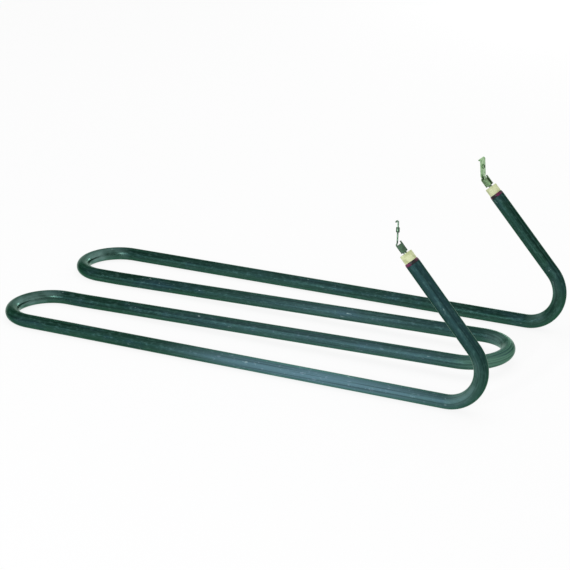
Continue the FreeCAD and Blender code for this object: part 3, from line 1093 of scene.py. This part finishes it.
# %% [markdown]
# ## Steatite
#
# A pressed and fired steatite bush is matt and cream, with faint stains from handling. Its
# pits are finer than the 0.35 mm drawn here, which is the finest that still shows.

# %% Fired steatite
PIT_SIZE = 0.35 * MM
STAIN_SIZE = 3.5 * MM


def fired_steatite():
    """Matt cream ceramic with fine pits and faint stains."""
    material, tree = new_material("fired_steatite")
    place = add(tree, "ShaderNodeTexCoord").outputs["Object"]
    stains = add(tree, "ShaderNodeTexNoise", None, {
        "Vector": place, "Scale": 1 / STAIN_SIZE, "Detail": 3.0}).outputs["Fac"]
    pits = add(tree, "ShaderNodeTexNoise", None, {
        "Vector": place, "Scale": 1 / PIT_SIZE, "Detail": 2.0}).outputs["Fac"]
    colour = coat(tree, linear("#CDD4A6"), "#B0B986", stains, start=0.4, full=0.65)
    look = {"Base Color": colour, "Roughness": 0.62, "IOR": 1.55}
    end_surface(tree, look, pits, bump=0.5, depth=0.04 * MM)
    return material


steatite = fired_steatite()
for bush in bushes:
    dress(bush, steatite)

# %% [markdown]
# ## Plated steel
#
# Pins and tags are nickel-plated steel, gone dull, with clouds of tarnish and faint marks of
# the rolling, which are drawn coarser than real so that they show. The strip was cut after
# plating, so its edges and the hole's rim are darker, and the dark laid along every edge and
# crease is also painted shade, in the crimp's creases and along the outlines. The Bevel node
# finds them: near an edge its normal turns away from the face's own. The weld has darkened the
# foot, and the wall of the wire hole is painted dark, as the shade inside it. The front tag is
# coloured darker and greyer than the rear one.

# %% Plated steel for pins and tags
ROLL_MARK = 0.35 * MM
TARNISH_SIZE = 1.7 * MM
EDGE_REACH = 0.8 * MM
EDGE_SAMPLES = 6


def plated_steel(name, clean, tarnished, edges):
    """Dull plated metal, cloudy with tarnish, dark at its welded foot, with darker cut edges and
    painted shade along its edges and in its hole.
    """
    material, tree = new_material(name)
    place = add(tree, "ShaderNodeTexCoord").outputs["Object"]
    tarnish = add(tree, "ShaderNodeTexNoise", None, {
        "Vector": place, "Scale": 1 / TARNISH_SIZE, "Detail": 4.0}).outputs["Fac"]
    marks = add(tree, "ShaderNodeTexNoise", None, {
        "Vector": place, "Scale": 1 / ROLL_MARK, "Detail": 2.0}).outputs["Fac"]
    colour = coat(tree, linear(clean), tarnished, tarnish, start=0.38, full=0.66)
    # Darker along every edge and crease: the bare cut edges, and painted shade in the creases and
    # along the outlines
    rounded = add(tree, "ShaderNodeBevel", {"samples": EDGE_SAMPLES}, {
        "Radius": EDGE_REACH}).outputs["Normal"]
    facing = add(tree, "ShaderNodeNewGeometry").outputs["Normal"]
    flatness = add(tree, "ShaderNodeVectorMath", {"operation": "DOT_PRODUCT"}, {
        0: rounded, 1: facing}).outputs["Value"]
    colour = coat(tree, colour, edges, flatness, start=0.98, full=0.8, most=0.85)
    # Darker at the welded foot, and painted shade on the wall of the wire hole
    dark = add(tree, "ShaderNodeAttribute", {"attribute_name": "dark"}).outputs["Fac"]
    colour = coat(tree, colour, edges, tarnish, start=0.7, full=0.4, most=0.75, within=dark)
    dullness = add(tree, "ShaderNodeMapRange", None, {
        "Value": tarnish, "From Min": 0.3, "From Max": 0.7, "To Min": 0.3, "To Max": 0.5,
    }).outputs["Result"]
    look = {"Base Color": colour, "Metallic": 1.0, "Roughness": dullness}
    end_surface(tree, look, marks, bump=0.3, depth=0.03 * MM)
    return material


pin_finish = plated_steel("nickel_plated_bar", "#8E9C8C", "#5C6A5C", "#3A4638")
tag_finishes = [
    # The front tag's finish is darker and greyer than the rear one's
    plated_steel("darker_nickel_plated_strip", "#68866E", "#3F5746", "#26382A"),
    plated_steel("nickel_plated_strip", "#A6C79A", "#7CA074", "#3A4C32"),
]
for pin in pins:
    dress(pin, pin_finish)
for tag, finish in zip(tags, tag_finishes):
    dress(tag, finish)

# %% [markdown]
# ## The hidden core
#
# Powder and coil are out of sight inside the tube, and their CAD solids stay. They still get
# the finish they would show if the tube were cut open: pale, dead matt packed powder and grey
# drawn wire with a dull shine. The powder's grain is really about a tenth of a millimetre and
# the marks of the wire die finer still, and both are drawn coarser so that they would show.

# %% Powder and wire
POWDER_GRAIN = 0.4 * MM
WIRE_MARK = 0.8 * MM


def grained(name, light, dark, grain, metallic, roughness):
    """One colour grained with a darker one, and a relief to match."""
    material, tree = new_material(name)
    place = add(tree, "ShaderNodeTexCoord").outputs["Object"]
    grains = add(tree, "ShaderNodeTexNoise", None, {
        "Vector": place, "Scale": 1 / grain, "Detail": 2.0}).outputs["Fac"]
    colour = add(tree, "ShaderNodeMix", {"data_type": "RGBA"}, {
        MIX_FACTOR: grains, MIX_A: linear(light), MIX_B: linear(dark),
    }).outputs[MIX_RESULT]
    look = {"Base Color": colour, "Metallic": metallic, "Roughness": roughness}
    end_surface(tree, look, grains, bump=0.4, depth=0.1 * MM)
    return material


dress(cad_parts["magnesia_core"],
      grained("packed_magnesia_powder", "#EFEDE4", "#D6D3C6", POWDER_GRAIN,
              metallic=0.0, roughness=0.95))
dress(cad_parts["resistance_coil"],
      grained("drawn_resistance_wire", "#8C8A86", "#5B5A58", WIRE_MARK,
              metallic=1.0, roughness=0.45))

# %% [markdown]
# ## Floor and sky
#
# The photograph has a pure white ground. The floor is pale and catches a faint shadow, and to
# the camera and to reflections it also glows softly, so that it reads as white paper does.

# %% Floor
FLOOR_SIZE = 12.0
FLOOR_GLOW = 0.88


def seen_directly(tree):
    """1 for rays from the camera, from mirrors and through glass, and 0 for other rays."""
    path = add(tree, "ShaderNodeLightPath")
    first = add(tree, "ShaderNodeMath", {"operation": "MAXIMUM"}, {
        0: path.outputs["Is Camera Ray"], 1: path.outputs["Is Glossy Ray"]}).outputs[0]
    return add(tree, "ShaderNodeMath", {"operation": "MAXIMUM"}, {
        0: first, 1: path.outputs["Is Transmission Ray"]}).outputs[0]


def pale_floor():
    """Matt paper that glows for the camera and in reflections."""
    material, tree = new_material("pale_paper_floor")
    paper = add(tree, "ShaderNodeBsdfDiffuse", None, {"Color": linear("#F2F2F2")})
    glow = add(tree, "ShaderNodeEmission", None, {"Color": linear("#FFFFFF"), "Strength": 1.0})
    share = add(tree, "ShaderNodeMath", {"operation": "MULTIPLY"}, {
        0: seen_directly(tree), 1: FLOOR_GLOW}).outputs[0]
    both = add(tree, "ShaderNodeMixShader", None, {
        0: share, 1: paper.outputs[0], 2: glow.outputs[0]})
    add(tree, "ShaderNodeOutputMaterial", None, {"Surface": both.outputs[0]})
    return material


let_go()
bpy.ops.mesh.primitive_plane_add(size=FLOOR_SIZE, location=(0, 0, 0))
floor = bpy.context.object
floor.name = "studio_floor"
dress(floor, pale_floor())
floor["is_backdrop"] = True

# %% [markdown]
# ## Light
#
# The world and one large lamp overhead give the plain level at which a colour shows about as it
# is written. The large lamp is kept out of reflections, or it would lay a white band along every
# run. Three small lamps are there for what they leave on the metal. The one at the front left
# lays a soft sheen along the runs. The one straight in front puts a glint on the far inner side
# of the left bends, and the one behind lights their near inner side.

# %% World
AMBIENT = 0.6


def white_world():
    """A white sky, dimmer as a lamp than it looks."""
    world = bpy.data.worlds.new("white_studio")
    world.use_nodes = True
    tree = world.node_tree
    tree.nodes.clear()
    strength = add(tree, "ShaderNodeMapRange", None, {
        "Value": seen_directly(tree), "To Min": AMBIENT, "To Max": 1.0}).outputs["Result"]
    sky = add(tree, "ShaderNodeBackground", None, {
        "Color": linear("#FFFFFF"), "Strength": strength})
    add(tree, "ShaderNodeOutputWorld", None, {"Surface": sky.outputs[0]})
    return world


bpy.context.scene.world = white_world()


# %% Lamps
def add_lamp(name, place, target, width, height, power, colour="#FFFFFF"):
    """A soft rectangular lamp that faces its target. Metres and watts."""
    data = bpy.data.lights.new(name, "AREA")
    data.shape = "RECTANGLE"
    data.size = width
    data.size_y = height
    data.energy = power
    data.color = linear(colour)[:3]
    lamp = bpy.data.objects.new(name, data)
    bpy.context.scene.collection.objects.link(lamp)
    lamp.location = place
    lamp.rotation_euler = (Vector(target) - Vector(place)).to_track_quat("-Z", "Y").to_euler()
    print(f"{name}: {power} W, {width} x {height} m")
    return lamp


overhead = add_lamp("overhead_softbox", place=(0.1, 0.2, 1.5), target=(0, 0, 0),
                    width=1.4, height=1.4, power=8)
overhead.visible_glossy = False
add_lamp("front_softbox", place=(-0.52, -1.13, 0.3), target=(0, 0, 0),
         width=0.3, height=0.5, power=2.4, colour="#DCE0FF")
add_lamp("key_softbox", place=(0.02, -1.08, 0.38), target=(0, 0, 0),
         width=0.08, height=0.08, power=3.4)
add_lamp("back_softbox", place=(-0.05, 1.1, 0.15), target=(-0.1, 0, 0),
         width=0.3, height=0.3, power=1.2)

# %% [markdown]
# ## Camera
#
# The photograph was taken from the front right, looking down at about twenty degrees. A long
# lens keeps the runs nearly parallel, as they are in the photograph.

# %% Camera
VIEW_TURN = math.radians(26.53)
VIEW_RISE = math.radians(20.632)
VIEW_ROLL = math.radians(-0.285)
VIEW_DISTANCE = 1.2018
VIEW_TARGET = Vector((-0.0207, 0.0592, 0.00425))
LENS = 115.88
SENSOR = 36


def add_camera():
    """The camera, turned round the target and tilted down on it."""
    turn = Vector((math.cos(VIEW_TURN), math.sin(VIEW_TURN), 0))
    back = Vector((math.sin(VIEW_TURN) * math.cos(VIEW_RISE),
                   -math.cos(VIEW_TURN) * math.cos(VIEW_RISE), math.sin(VIEW_RISE)))
    upright = back.cross(turn)
    right = math.cos(VIEW_ROLL) * turn + math.sin(VIEW_ROLL) * upright
    over = back.cross(right)
    data = bpy.data.cameras.new("camera")
    data.lens = LENS
    data.sensor_width = SENSOR
    camera = bpy.data.objects.new("camera", data)
    bpy.context.scene.collection.objects.link(camera)
    camera.matrix_world = (Matrix.Translation(VIEW_TARGET + back * VIEW_DISTANCE)
                           @ Matrix((right, over, back)).transposed().to_4x4())
    bpy.context.scene.camera = camera
    print("camera at", [round(c, 4) for c in camera.location])


add_camera()
bpy.context.scene.view_settings.view_transform = "Standard"

# %% [markdown]
# ## The size and finish
#
# Both boxes are printed: the CAD model's and the dressed model's. The dressed model has to
# stay inside the CAD model's box.

# %% Finish
boxes = {"cad": [list(corner) for corner in cad_box],
         "scene": [list(corner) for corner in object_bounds()]}
print("boxes in mm:", {name: [[round(c / MM, 2) for c in corner] for corner in box]
                       for name, box in boxes.items()})
